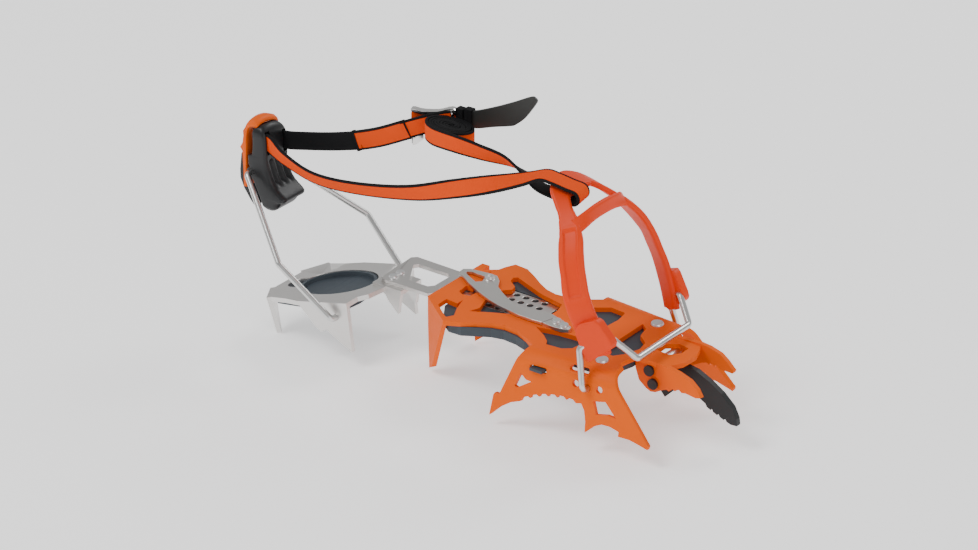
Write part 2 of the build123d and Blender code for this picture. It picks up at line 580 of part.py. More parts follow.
# --- heel bail: steel wire from blade to blade, through the heel lever ----------------------------
LEVER_HALF = 11.5      # half width of the heel lever
heel_leg_y = near_y - 4.0
heel_bail_half = [
    (heel_hole.X, near_y + PLATE + 2.5, heel_hole.Z), (heel_hole.X, heel_leg_y, heel_hole.Z),
    (-128.3, HEEL_Y - 44.7, 11.5), (AXLE[0], LEVER_Y - LEVER_HALF - 3.5, AXLE[1]),
]
heel_bail_far = [(x, 2 * HEEL_Y - y, z) for x, y, z in heel_bail_half[:3]]
heel_bail_far.append((AXLE[0], LEVER_Y + LEVER_HALF + 3.5, AXLE[1]))
with BuildPart() as heel_bail:
    with BuildLine():
        heel_path = wire_path(heel_bail_half + heel_bail_far[::-1], 3.2)
    with BuildSketch(Plane(origin=heel_bail_half[0], z_dir=(0, -1, 0))):
        Circle(WIRE_R)
    sweep(path=heel_path)
piece("heel_bail", heel_bail)

# --- heel lever: black body, orange latch, black tail loop ------------------------------------------
body_outline = [
    (-168.5, 56), (-167, 70), (-166.8, 77), (-168, 82.5), (-165.5, 85), (-161.5, 84.5),
    (-159.2, 80), (-158.6, 70), (-158.4, 60), (-156, 51.5), (-152, 45), (-146.4, 41.2),
    (-144.6, 39.3), (-145.4, 37), (-149.5, 36.8), (-150.4, 33.5), (-154, 29.6), (-160, 28.8),
    (-163, 31.5), (-165, 38), (-169.3, 47),
]
spine_outline = [(-174.8, 45), (-174.8, 78), (-171, 83), (-165, 83), (-165, 45)]
SPINE_HALF = 5.0
BOSS_R = 4.4           # round the wire
latch_outline = [
    (-162, 86.2), (-163, 88), (-167, 89), (-171.5, 88.2), (-174.8, 84.8), (-177, 79.8),
    (-176.6, 75.8), (-178.6, 70.2), (-180.6, 66.9), (-178.7, 64.8), (-178.4, 40.6),
    (-175.4, 40.6), (-175.2, 78.5), (-171.6, 84.8), (-168.8, 86.2), (-165.8, 85.6),
]
tail_outline = [
    (-178.9, 64.2), (-180.4, 62), (-181.8, 51), (-181.8, 45.4), (-178.8, 38.4), (-174, 31.8),
    (-170.4, 28.2), (-168.6, 29.8), (-171.8, 33.4), (-175.8, 39.6), (-178.8, 40.2),
]
STRAP_NEAR, STRAP_BLACK = (-31.0, 74.2), (-14.0, 71.2)     # y, z of the webbing in its slots
SLOT_WIDE, SLOT_TALL = 4.0, 19.5
SLOT_X = (-156.0, -174.0)                                   # front and rear of the slots
LEVER_PLANE = Plane.XZ.offset(-LEVER_Y)
with BuildPart() as heel_lever_body:
    with BuildSketch(LEVER_PLANE):
        Polygon(*body_outline, align=None)
        with Locations(AXLE):
            Circle(BOSS_R)
    extrude(amount=LEVER_HALF, both=True)
    with BuildSketch(LEVER_PLANE):
        Polygon(*spine_outline, align=None)
    extrude(amount=SPINE_HALF, both=True)
    with BuildSketch(LEVER_PLANE):
        with Locations(AXLE):
            Circle(WIRE_R + RUN_FIT)
    extrude(amount=LEVER_HALF + 1, both=True, mode=Mode.SUBTRACT)
    with BuildSketch(Plane(origin=(SLOT_X[0], 0, 0), x_dir=(0, 1, 0), z_dir=(1, 0, 0))):
        with Locations(STRAP_NEAR, STRAP_BLACK):
            Rectangle(SLOT_WIDE, SLOT_TALL)
    extrude(amount=SLOT_X[1] - SLOT_X[0], mode=Mode.SUBTRACT)
    with BuildSketch(Plane(origin=(-146, 0, 0), x_dir=(0, 1, 0), z_dir=(1, 0, 0))):
        with Locations((LEVER_Y, 47)):
            RectangleRounded(12, 12, 3)
    extrude(amount=-14, mode=Mode.SUBTRACT)
piece("heel_lever_body", heel_lever_body)

with BuildPart() as heel_lever_latch:
    with BuildSketch(LEVER_PLANE):
        Polygon(*latch_outline, align=None)
    extrude(amount=LEVER_HALF - 1.5, both=True)
piece("heel_lever_latch", heel_lever_latch)

with BuildPart() as heel_lever_tail:
    with BuildSketch(LEVER_PLANE):
        Polygon(*tail_outline, align=None)
    extrude(amount=LEVER_HALF - 3, both=True)
    with BuildSketch(Plane(origin=(-190, 0, 0), x_dir=(0, 1, 0), z_dir=(1, 0, 0))):
        with Locations((LEVER_Y, 49)):
            RectangleRounded(10, 18, 4)
    extrude(amount=30, mode=Mode.SUBTRACT)
piece("heel_lever_tail", heel_lever_tail)

# --- webbing: stations are x, y, z and the lean of the width off the vertical -----------------------
STRAP_END = -171.3     # the webbing ends inside the spine, before the latch
COIL_AT = (-42.0, 2.0, 105.0)
COIL_R = 14.0
near_run = [
    (STRAP_END, STRAP_NEAR[0], STRAP_NEAR[1], 0), (-159, -31, 74, 3), (-146, -31, 67.4, 20),
    (-123, -29.5, 60, 30), (-92, -27, 60.6, 30), (-54, -23, 66.6, 20), (-24, -18.5, 75.8, -8),
    (6, -14, 86, -46), (24, -11.8, 93, -64), (36, -10.2, 98.1, -76), (45, -9.6, 97.7, -80),
    (54, -8.8, 96.1, -80),
]
TURN_AT, TURN_R = (58.4, 91.1), 4.7
turn = []
for angle in (30, 75, 120, 165):
    turn_x = TURN_AT[0] + TURN_R * sin(radians(angle))
    turn.append((turn_x, -8.6 + angle / 100, TURN_AT[1] + TURN_R * cos(radians(angle)), -80))
far_run = [
    (54, -6.4, 86.4, -80), (42, -4.6, 85.7, -84), (28, -2.2, 85.4, -98), (15, 0.2, 89.8, -122),
    (2, -1.0, 94.8, -150), (-14, -6.4, 98.4, -168), (-29, -11.2, 101.6, -178),
    (COIL_AT[0], COIL_AT[1] - COIL_R - WEB_T / 2 - 0.3, COIL_AT[2], -180),
]
orange_route = band_planes(near_run + turn + far_run)
loop_from = len(near_run) - 1
loop_to = len(near_run) + len(turn)


def webbing(name, planes, width=WEB, thick=WEB_T):
    """A strap through its section planes."""
    with BuildPart() as band:
        for plane in planes:
            with BuildSketch(plane):
                Rectangle(width, thick)
        loft(ruled=True)
    piece(name, band)


webbing("strap_near_run", orange_route[:loop_from + 1])
webbing("strap_loop", orange_route[loop_from:loop_to + 1])
webbing("strap_far_run", orange_route[loop_to:])

with BuildPart() as strap_coil:
    with BuildSketch(Plane.XY.offset(COIL_AT[2] - WEB / 2)):
        with Locations(COIL_AT[:2]):
            Circle(COIL_R)
    extrude(amount=WEB)
piece("strap_coil", strap_coil)

back_route = band_planes([
    (STRAP_END, STRAP_BLACK[0], STRAP_BLACK[1], 0), (-156, -14, 71.4, 0), (-143, -11, 73, 2),
    (-126, -7.6, 76, 2), (-109, -5, 80.2, 0), (-92, -3.4, 86.6, 0), (-75, -0.6, 94.6, 0),
    (-66, 4.2, 98.4, 0), (-60, 8.6, 100.4, 0), (-54, 12.8, 101.8, 0), (-50.2, 14.5, 102.6, 0),
])
webbing("strap_black", back_route[:5])
webbing("strap_sleeve", back_route[4:7], WEB + 0.8, 2.4)
webbing("strap_buckle_end", back_route[6:])

# --- ladder buckle with its cam, pin, keeper and the tail of the strap ----------------------------------
buckle_a, buckle_b = Vector(-76.5, 9, 0), Vector(-49.5, 18.6, 0)
buckle_way = (buckle_b - buckle_a).normalized()
BUCKLE_L = (buckle_b - buckle_a).length
BUCKLE = Plane(origin=buckle_a, x_dir=buckle_way, z_dir=buckle_way.cross(Vector(0, 0, 1)))
with BuildPart() as buckle_frame:
    with BuildSketch(BUCKLE):
        Polygon((0, 82), (7, 84), (7, 100), (22, 101), (22, 96), (BUCKLE_L, 98),
                (BUCKLE_L, 109.5), (20, 107), (8, 105), (0, 106), align=None)
    extrude(amount=-1.4)
piece("buckle_frame", buckle_frame)

with BuildPart() as buckle_lever:
    with BuildSketch(BUCKLE):
        Polygon((0, 104.2), (8, 102.6), (18, 104.4), (26, 107.6), (BUCKLE_L, 108.2),
                (BUCKLE_L, 109.4), (26, 109), (17, 106), (8, 104), (0, 105.8), align=None)
    extrude(amount=2.8)
piece("buckle_lever", buckle_lever)

with BuildPart() as buckle_pin:
    with BuildSketch(BUCKLE):
        with Locations((24.5, 104.6)):
            Circle(1.3)
    extrude(amount=2.4)
piece("buckle_pin", buckle_pin)

TAIL_Y = 20.2
tail_shape = [
    (-47.5, 98.6), (-36.6, 98.6), (-22, 103.3), (-9.4, 107.2), (-5.8, 109.1), (0.5, 114.8),
    (7.6, 124.5), (9.8, 128.3), (8.5, 129.9), (4.9, 130.2), (-8.5, 123.1), (-22, 116.5),
    (-36.6, 110.3), (-47.5, 107.8),
]
with BuildPart() as strap_tail:
    with BuildSketch(Plane.XZ.offset(-TAIL_Y)):
        Polygon(*tail_shape, align=None)
    extrude(amount=1.0, both=True)
piece("strap_tail", strap_tail)

with BuildPart() as strap_keeper:
    with BuildSketch(Plane(origin=(-46, TAIL_Y, 103.2), x_dir=(0, 1, 0), z_dir=(1, 0, 0.2))):
        Rectangle(5.0, 16)
        Rectangle(2.8, 13.4, mode=Mode.SUBTRACT)
    extrude(amount=9)
piece("strap_keeper", strap_keeper)

# --- place the assembly: origin at the centre of its footprint, on the ground --------------------------
boxes = [part.bounding_box() for part in pieces.values()]
low_x, high_x = min(box.min.X for box in boxes), max(box.max.X for box in boxes)
low_y, high_y = min(box.min.Y for box in boxes), max(box.max.Y for box in boxes)
shift = Vector(-(low_x + high_x) / 2, -(low_y + high_y) / 2, -min(box.min.Z for box in boxes))
print("moved by", shift)
for name, part in pieces.items():
    part.move(Location(shift))
    export_step(part, f"parts/{name}.step")
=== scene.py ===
import json
from math import cos, pi, radians, sin

import bmesh
import bpy
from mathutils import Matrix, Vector


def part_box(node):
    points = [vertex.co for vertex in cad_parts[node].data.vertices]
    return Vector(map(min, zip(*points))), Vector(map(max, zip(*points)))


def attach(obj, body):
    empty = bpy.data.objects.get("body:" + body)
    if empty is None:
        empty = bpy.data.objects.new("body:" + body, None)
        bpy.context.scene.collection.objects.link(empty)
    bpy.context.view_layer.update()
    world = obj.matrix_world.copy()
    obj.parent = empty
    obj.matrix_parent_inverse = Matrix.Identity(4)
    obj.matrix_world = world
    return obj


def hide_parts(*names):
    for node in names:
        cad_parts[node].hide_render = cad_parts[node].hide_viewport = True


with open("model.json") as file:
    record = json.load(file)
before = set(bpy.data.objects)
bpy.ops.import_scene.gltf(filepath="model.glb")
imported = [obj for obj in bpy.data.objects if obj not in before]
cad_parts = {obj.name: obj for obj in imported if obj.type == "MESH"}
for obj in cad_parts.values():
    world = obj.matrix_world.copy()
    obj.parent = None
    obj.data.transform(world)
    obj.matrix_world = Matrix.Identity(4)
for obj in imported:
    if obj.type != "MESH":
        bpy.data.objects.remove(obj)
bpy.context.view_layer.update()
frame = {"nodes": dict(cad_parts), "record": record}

# --- the shared frame: millimetres of the front plate, whose top is z = 0 ------------------------
BAR_TIP, BAR_FAR, BAR_TOP = 29.0, 23.0, -3.3          # three known faces of the linking bar
MM = 0.001
bar_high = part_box("linking_bar")[1]
ZERO = Vector(bar_high) - Vector((BAR_TIP, BAR_FAR, BAR_TOP)) * MM


def at(x, y, z):
    """A point given in millimetres from the front plate's own zero, in the row frame."""
    return ZERO + Vector((x, y, z)) * MM


# --- camera ----------------------------------------------------------------------------------------
VIEW_AZIMUTH, VIEW_ELEVATION = radians(36.25), radians(26.25)
VIEW_DISTANCE = 2.284
LENS = 138.8
look_at = at(0, -15.8, 23.8)
back = Vector((
    sin(VIEW_AZIMUTH) * cos(VIEW_ELEVATION),
    -cos(VIEW_AZIMUTH) * cos(VIEW_ELEVATION),
    sin(VIEW_ELEVATION),
))
camera_data = bpy.data.cameras.new("camera")
camera_data.lens = LENS
camera_data.clip_start = 0.1
camera_data.clip_end = 30
camera = bpy.data.objects.new("camera", camera_data)
camera.location = look_at + back * VIEW_DISTANCE
camera.rotation_euler = back.to_track_quat("Z", "Y").to_euler()
bpy.context.collection.objects.link(camera)
bpy.context.scene.camera = camera

# --- studio ------------------------------------------------------------------------------------------
FLOOR_HALF = 6.0
FLOOR_GLOW = 0.6
WORLD_LIGHT = 0.5
WHITE = (1, 1, 1, 1)
LIGHTS = [  # name, place, size and power
    ("key", (-0.9, -1.2, 2.1), 0.9, 30),
    ("fill", (1.8, -0.9, 0.9), 1.2, 9),
    ("rim", (0.2, 1.7, 1.5), 0.8, 14),
]
LIGHTS_AIM = Vector((0, 0, 0.08))


def plain(name, color, rough):
    """A material with one colour, for the floor."""
    material = bpy.data.materials.new(name)
    material.use_nodes = True
    shader = material.node_tree.nodes["Principled BSDF"]
    shader.inputs["Base Color"].default_value = (*color, 1)
    shader.inputs["Roughness"].default_value = rough
    return material


def studio():
    """Pale floor, pale world, one large key light, a fill and a rim."""
    floor_mesh = bpy.data.meshes.new("floor")
    corners = [(x * FLOOR_HALF, y * FLOOR_HALF, 0) for x, y in ((-1, -1), (1, -1), (1, 1), (-1, 1))]
    floor_mesh.from_pydata(corners, [], [(0, 1, 2, 3)])
    floor = bpy.data.objects.new("floor", floor_mesh)
    paint = plain("floor_paint", (0.92, 0.92, 0.92), 0.9)
    glow = paint.node_tree.nodes["Principled BSDF"].inputs
    glow["Emission Color"].default_value = WHITE
    glow["Emission Strength"].default_value = FLOOR_GLOW
    floor.data.materials.append(paint)
    bpy.context.collection.objects.link(floor)
    world = bpy.data.worlds.new("studio")
    world.use_nodes = True
    world.node_tree.nodes["Background"].inputs["Color"].default_value = WHITE
    world.node_tree.nodes["Background"].inputs["Strength"].default_value = WORLD_LIGHT
    bpy.context.scene.world = world
    for name, where, size, power in LIGHTS:
        light_data = bpy.data.lights.new(name, "AREA")
        light_data.size = size
        light_data.energy = power
        light = bpy.data.objects.new(name, light_data)
        light.location = where
        light.rotation_euler = (Vector(where) - LIGHTS_AIM).to_track_quat("Z", "Y").to_euler()
        bpy.context.collection.objects.link(light)


# --- materials ---------------------------------------------------------------------------------------
class Nodes:
    """A material's node tree with short calls for the nodes that the finishes share."""

    def __init__(self, name, rough, metal=0.0, specular=0.5):
        self.material = bpy.data.materials.new(name)
        self.material.use_nodes = True
        self.tree = self.material.node_tree
        self.shader = self.tree.nodes["Principled BSDF"]
        self.shader.inputs["Roughness"].default_value = rough
        self.shader.inputs["Metallic"].default_value = metal
        self.shader.inputs["Specular IOR Level"].default_value = specular
        self.where = self.tree.nodes.new("ShaderNodeTexCoord").outputs["Object"]

    def link(self, source, target):
        self.tree.links.new(source, target)

    def noise(self, scale, detail, stretch=None):
        source = self.where
        if stretch:
            mapping = self.tree.nodes.new("ShaderNodeMapping")
            mapping.inputs["Scale"].default_value = stretch
            self.link(source, mapping.inputs["Vector"])
            source = mapping.outputs["Vector"]
        node = self.tree.nodes.new("ShaderNodeTexNoise")
        node.inputs["Scale"].default_value = scale
        node.inputs["Detail"].default_value = detail
        self.link(source, node.inputs["Vector"])
        return node.outputs["Fac"]

    def cloudy(self, source, color, shade):
        """Base colour that drifts between the colour and a darker shade of it."""
        node = self.tree.nodes.new("ShaderNodeMix")
        node.data_type = "RGBA"
        node.inputs[6].default_value = (*(c * shade for c in color), 1)
        node.inputs[7].default_value = (*color, 1)
        self.link(source, node.inputs[0])
        self.link(node.outputs[2], self.shader.inputs["Base Color"])

    def rough(self, source, low, high):
        node = self.tree.nodes.new("ShaderNodeMapRange")
        node.inputs["To Min"].default_value = low
        node.inputs["To Max"].default_value = high
        self.link(source, node.inputs["Value"])
        self.link(node.outputs["Result"], self.shader.inputs["Roughness"])

    def bump(self, source, strength, distance):
        node = self.tree.nodes.new("ShaderNodeBump")
        node.inputs["Strength"].default_value = strength
        node.inputs["Distance"].default_value = distance
        self.link(source, node.inputs["Height"])
        self.link(node.outputs["Normal"], self.shader.inputs["Normal"])


def painted(name, color):
    """Satin coat on punched steel: faint orange peel and a cloudy tone."""
    n = Nodes(name, 0.5, specular=0.1)
    n.cloudy(n.noise(60, 4), color, 0.92)
    n.rough(n.noise(140, 3), 0.44, 0.55)
    n.bump(n.noise(900, 2), 0.12, 0.0002)
    return n.material


def steel(name, color, low, high, stretch, depth=0.04):
    """Bare steel with a roughness from low to high, brushed along the axis that stretch shortens."""
    n = Nodes(name, low, metal=1.0)
    n.cloudy(n.noise(70, 2), color, 0.93)
    n.rough(n.noise(300, 2, stretch), low, high)
    if depth:
        n.bump(n.noise(1500, 3, stretch), depth, 0.0001)
    return n.material


def plastic(name, color, rough, grain=1200.0, depth=0.1, specular=0.4):
    """Moulded plastic or webbing with a fine grain."""
    n = Nodes(name, rough, specular=specular)
    n.cloudy(n.noise(45, 3), color, 0.9)
    n.rough(n.noise(200, 3), rough - 0.05, rough + 0.07)
    n.bump(n.noise(grain, 2), depth, 0.0001)
    return n.material


EVEN, BRUSHED = (1, 1, 1), (0.1, 1, 1)
finish = {
    "frame_orange": painted("frame_orange", (0.90, 0.125, 0.001)),
    "antiball": plastic("antiball", (0.055, 0.07, 0.085), 0.55, 700.0, 0.2, 0.25),
    "point_steel": plastic("point_steel", (0.018, 0.018, 0.019), 0.5, 500.0, 0.3, 0.3),
    "bolt_black": plastic("bolt_black", (0.02, 0.02, 0.022), 0.45),
    "fastener": steel("fastener", (0.80, 0.80, 0.80), 0.3, 0.36, EVEN, 0.0),
    "lock_steel": steel("lock_steel", (0.74, 0.72, 0.69), 0.24, 0.38, BRUSHED),
    "bar_steel": steel("bar_steel", (0.70, 0.68, 0.66), 0.26, 0.4, BRUSHED),
    "heel_steel": steel("heel_steel", (0.74, 0.72, 0.70), 0.24, 0.4, (0.15, 1, 1)),
    "wire": steel("wire", (0.66, 0.66, 0.65), 0.26, 0.32, (0.3, 0.3, 0.3), 0.0),
    "harness_orange": plastic("harness_orange", (0.86, 0.05, 0.001), 0.42, 900.0, 0.04, 0.22),
    "lever_black": plastic("lever_black", (0.010, 0.0105, 0.012), 0.38, 800.0, 0.12, 0.35),
    "latch_orange": plastic("latch_orange", (0.88, 0.12, 0.001), 0.45, 900.0, 0.04, 0.15),
    "webbing_orange": plastic("webbing_orange", (0.86, 0.075, 0.003), 0.85, specular=0.15),
    "webbing_black": plastic("webbing_black", (0.008, 0.008, 0.009), 0.85, specular=0.2),
    "tail_rubber": plastic("tail_rubber", (0.030, 0.031, 0.029), 0.5),
    "buckle_chrome": steel("buckle_chrome", (0.82, 0.81, 0.80), 0.1, 0.14, EVEN, 0.0),
    # dark steel for the sheet under the buckle plate, which is a painted dark reflection of the chrome
    "buckle_painted_reflection": steel("buckle_painted_reflection", (0.16, 0.165, 0.175), 0.25, 0.4, EVEN, 0.0),
}

# --- CAD nodes: their finish, and softened edges on those that stay ------------------------------------
OWN_FINISH = {"point_bolts": "bolt_black"}          # these are blackened, unlike the other fasteners
SOFT_EDGE = {
    "front_frame": 0.35, "heel_frame": 0.3, "linking_bar": 0.25, "lock_lever": 0.25, "lever_foot": 0.25,
    "front_point": 0.45, "front_antiball": 0.5, "heel_antiball": 0.4, "bar_guide": 0.2,
    "heel_lever_tail": 0.7, "deck_rivets": 0.3, "lever_rivets": 0.3, "bar_rivets": 0.3, "lock_pin": 0.3,
    "point_bolts": 0.3,
}
WELD_WITHIN = 0.00001
for subpart in frame["record"]["subparts"]:
    node_name = subpart["node"]
    node = frame["nodes"][node_name]
    node.data.materials.clear()
    node.data.materials.append(finish[OWN_FINISH.get(node_name, subpart["material_slot"])])
    if node_name in SOFT_EDGE:
        weld = node.modifiers.new("weld", "WELD")
        weld.merge_threshold = WELD_WITHIN
        bevel = node.modifiers.new("edge", "BEVEL")
        bevel.width = SOFT_EDGE[node_name] * MM
        bevel.segments = 2
        bevel.limit_method = "ANGLE"
        bevel.angle_limit = radians(35)


# --- mesh helpers --------------------------------------------------------------------------------------
def mesh_piece(name, points, faces, finishes, face_finish=None, smooth=True):
    """A piece from points and faces in the row frame, with one or more finishes."""
    mesh = bpy.data.meshes.new(name)
    mesh.from_pydata(points, [], faces)
    piece = bpy.data.objects.new(name, mesh)
    bpy.context.collection.objects.link(piece)
    for finish_name in finishes:
        mesh.materials.append(finish[finish_name])
    if face_finish:
        mesh.polygons.foreach_set("material_index", face_finish)
    mesh.polygons.foreach_set("use_smooth", [smooth] * len(faces))
    mesh.update()
    return piece


def tube_faces(rings, size):
    """Faces of a closed tube made of rings of points, with size points to a ring, and its two ends."""
    faces = []
    for i in range(rings - 1):
        for k in range(size):
            a, b = i * size + k, i * size + (k + 1) % size
            faces.append((a, b, b + size, a + size))
    faces.append(tuple(range(size))[::-1])
    faces.append(tuple(range((rings - 1) * size, rings * size)))
    return faces


def add_prism(mesh, near, far):
    """Adds a solid between two outlines with the same number of points."""
    near_ring = [mesh.verts.new(point) for point in near]
    far_ring = [mesh.verts.new(point) for point in far]
    mesh.faces.new(near_ring)
    mesh.faces.new(far_ring[::-1])
    for k in range(len(near_ring)):
        j = (k + 1) % len(near_ring)
        mesh.faces.new((near_ring[k], far_ring[k], far_ring[j], near_ring[j]))


def bevelled_piece(name, mesh, edges, bevel, segments, profile, finish_name):
    """Bevels edges of a mesh in the making, and turns it into a piece."""
    bmesh.ops.bevel(
        mesh, geom=edges, offset=bevel * MM, segments=segments, affect="EDGES", profile=profile,
    )
    data = bpy.data.meshes.new(name)
    mesh.to_mesh(data)
    mesh.free()
    piece = bpy.data.objects.new(name, data)
    bpy.context.collection.objects.link(piece)
    data.materials.append(finish[finish_name])
    return piece


SHARP = 0.9                        # radians between two faces, above which their edge is bevelled


def slab(name, near, far, bevel, finish_name):
    """A flat piece between two outlines, with its sharp edges bevelled."""
    mesh = bmesh.new()
    add_prism(mesh, near, far)
    bmesh.ops.recalc_face_normals(mesh, faces=mesh.faces)
    sharp = [edge for edge in mesh.edges if edge.calc_face_angle(0) > SHARP]
    return bevelled_piece(name, mesh, sharp, bevel, 2, 0.5, finish_name)


def smooth_route(stations, step):
    """Catmull-Rom curve through stations of three or more numbers, in steps of about the given length."""
    rows = []
    last = len(stations) - 1
    for i in range(last):
        p0, p1 = stations[max(i - 1, 0)], stations[i]
        p2, p3 = stations[i + 1], stations[min(i + 2, last)]
        span = sum((b - a) ** 2 for a, b in zip(p1[:3], p2[:3])) ** 0.5
        count = max(1, round(span / step))
        for k in range(count):
            t = k / count
            rows.append(tuple(
                0.5 * (2 * b + (c - a) * t + (2 * a - 5 * b + 4 * c - d) * t * t
                       + (3 * b - a - 3 * c + d) * t ** 3)
                for a, b, c, d in zip(p0, p1, p2, p3)
            ))
    rows.append(stations[-1])
    return rows


def step_up(value, edge, soft):
    """0 below an edge, 1 above it, with a soft step between."""
    t = min(max((value - edge) / soft + 0.5, 0), 1)
    return t * t * (3 - 2 * t)


# --- webbing -------------------------------------------------------------------------------------------
WEB, WEB_T = 12.0, 1.6             # width and thickness of the webbing
RIB, RIB_DEPTH = 1.05, 0.13        # pitch and height of the weave's cross ribs
SELVEDGE = 1.35                    # black edge of the orange webbing
ROUNDING = 0.35                    # where the flat face ends
EDGE_THICK = 0.8                   # share of the thickness that is left at the edges
BEAD, BEAD_PITCH = 0.1, 1.5        # scallops of the edge: depth, and pitch in ribs
FACE_COLUMNS = range(1, 5)         # places round the section that show the face's colour
TWO_TONE, BLACK = ["webbing_orange", "webbing_black"], ["webbing_black", "webbing_black"]


def section(width, thick):
    """Across and out of the points round a strap's section, from one edge round to the other."""
    half, deep = width / 2, thick / 2
    top = [(-half + ROUNDING, deep), (-half + SELVEDGE, deep)]
    top += [(half * f, deep) for f in (-0.55, 0, 0.55)]
    top += [(half - SELVEDGE, deep), (half - ROUNDING, deep)]
    under = [(across, -off) for across, off in reversed(top)]
    high_edge = [(half, deep * EDGE_THICK), (half, -deep * EDGE_THICK)]
    low_edge = [(-half, -deep * EDGE_THICK), (-half, deep * EDGE_THICK)]
    return top + high_edge + under + low_edge


def ribbon(name, stations, width, thick, finishes, rib=RIB, depth=RIB_DEPTH):
    """Ribbed webbing along stations x, y, z and lean of its width off the vertical, in degrees.
    The first finish is its outer face's, the second its edges' and back's."""
    rows = smooth_route(stations, rib / 3)
    ring = section(width, thick)
    points = []
    run = 0.0
    for i, (x, y, z, lean) in enumerate(rows):
        here = Vector((x, y, z))
        ahead, behind = Vector(rows[min(i + 1, len(rows) - 1)][:3]), Vector(rows[max(i - 1, 0)][:3])
        way = (ahead - behind).normalized()
        wide = Vector((0, -sin(radians(lean)), cos(radians(lean))))
        wide = (wide - way * wide.dot(way)).normalized()
        out = way.cross(wide)
        run += (here - behind).length
        wave = cos(2 * pi * run / rib)
        bead = BEAD * cos(2 * pi * run / (rib * BEAD_PITCH))
        for across, off in ring:
            if abs(across) > width / 2 - 0.1:
                across += bead * (1 if across > 0 else -1)
            else:
                off += depth * wave * (1 if off > 0 else -1)
            points.append(at(*(here + wide * across + out * off)))
    faces = tube_faces(len(rows), len(ring))
    column_finish = [0 if k in FACE_COLUMNS else 1 for k in range(len(ring))]
    face_finish = column_finish * (len(rows) - 1) + [1, 1]
    return mesh_piece(name, points, faces, finishes, face_finish)


# --- orange strap: near run, turn over the harness, far run and coil -------------------------------------
near_run = [
    (-166.9, -30.4, 74.2, 0), (-159, -30.4, 73.9, 2), (-146, -31, 67.4, 20), (-123, -29.5, 60, 30),
    (-92, -27, 60.6, 30), (-54, -23, 66.6, 20), (-24, -18.5, 75.8, -8), (6, -14, 86, -46),
    (24, -11.8, 93, -64), (36, -10.2, 98.1, -76), (45, -9.6, 97.7, -80), (54, -8.8, 96.1, -80),
]
TURN_X, TURN_Y, TURN_Z, TURN_R = 58.4, -8.6, 91.1, 4.7
TURN_DRIFT = 0.01                  # sideways, for each degree of the turn
turn = [
    (TURN_X + TURN_R * sin(radians(a)), TURN_Y + TURN_DRIFT * a, TURN_Z + TURN_R * cos(radians(a)), -80)
    for a in (30, 75, 120, 165)
]
far_run = [
    (54, -6.4, 86.4, -80), (42, -4.6, 85.7, -84), (28, -2.2, 85.4, -98), (15, 0.2, 89.8, -118),
    (2, -1.0, 94.8, -142), (-14, -6.4, 98.4, -162), (-29, -11.6, 101.8, -176),
]
COIL_X, COIL_Y, COIL_Z = -42.0, 2.0, 100.0
COIL_R, TURNS, COIL_PITCH = 14.8, 7.6, 1.74
STATIONS_PER_TURN = 14
SLOPE_X, SLOPE_Y = 0.1021, 0.1988  # how the coil's plane falls off to the toe and to the far side
COIL_WOBBLE, COIL_STAGGER = 0.12, 0.35
coil = []
for k in range(int(TURNS * STATIONS_PER_TURN) + 1):
    turned = k / STATIONS_PER_TURN
    radius = COIL_R - COIL_PITCH * turned + COIL_WOBBLE * sin(3.1 * turned)
    angle = -pi / 2 - 2 * pi * turned
    out_x, out_y = radius * cos(angle), radius * sin(angle)
    height = COIL_Z - SLOPE_X * out_x - SLOPE_Y * out_y + COIL_STAGGER * sin(5 * turned)
    coil.append((COIL_X + out_x, COIL_Y + out_y, height, -180))
orange_strap = ribbon("ankle_strap", near_run + turn + far_run + coil, WEB, WEB_T, TWO_TONE)
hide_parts("strap_near_run", "strap_loop", "strap_far_run", "strap_coil")
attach(orange_strap, "harness")

# --- black strap, its sleeve and the webbing to the buckle ------------------------------------------------
back_run = [
    (-166.9, -14.4, 71.2, 0), (-156, -14.2, 71.4, 0), (-143, -11, 73, 2), (-126, -7.6, 76, 2),
    (-109, -5, 80.2, 0), (-106, -4.8, 81.2, 0),
]
black_strap = ribbon("black_strap", back_run, WEB, WEB_T, BLACK, 0.8, 0.07)
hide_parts("strap_black")
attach(black_strap, "harness")

sleeve_run = [(-109.5, -5, 80.0, 0), (-92, -3.4, 86.6, 0), (-73.5, 0.3, 95.3, 0)]
sleeve = ribbon("strap_sleeve_cover", sleeve_run, WEB + 0.6, 2.4, TWO_TONE, 0.9, 0.08)
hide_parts("strap_sleeve")
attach(sleeve, "harness")

buckle_run = [
    (-76, -0.8, 94.2, 0), (-66, 4.2, 98.4, 0), (-60, 8.6, 100.4, 0), (-54, 12.8, 101.8, 0),
    (-50.2, 14.5, 102.6, 0),
]
buckle_webbing = ribbon("buckle_webbing", buckle_run, WEB, WEB_T, TWO_TONE, 0.9, 0.1)
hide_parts("strap_buckle_end")
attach(buckle_webbing, "harness")

sleeve_trims = [  # the black wrap at the sleeve's rear end and the stitched line at its front end
    ("sleeve_wrap", [(-110, -5.1, 79.8, 0), (-108.4, -4.9, 80.4, 0)], WEB + 1.3, 3.1),
    ("sleeve_stitch", [(-74, 0.0, 95.05, 0), (-73.3, 0.42, 95.4, 0)], WEB + 0.9, 2.8),
]
for name, ends, width, thick in sleeve_trims:
    trim = ribbon(name, ends, width, thick, BLACK, 0.6, 0.1)
    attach(trim, "harness")

# --- tail of the strap: flat and rubbery, with a rounded tip ----------------------------------------------
TAIL_Y, TAIL_HALF, TAIL_BEVEL = 20.2, 1.0, 0.35
tail_shape = [
    (-47.5, 98.6), (-36.6, 98.6), (-22, 103.3), (-9.4, 107.2), (-5.8, 109.1), (0.5, 114.8), (7.6, 124.5),
    (9.6, 128.3), (8.5, 129.9), (4.9, 130.1), (-8.5, 123.1), (-22, 116.5), (-36.6, 110.3), (-47.5, 107.8),
]


def rounded(outline, step=0.8):
    """A closed outline drawn as a smooth curve."""
    loop = [(x, 0, z) for x, z in outline]
    return [(x, z) for x, _, z in smooth_route(loop + loop[:1], step)[:-1]]


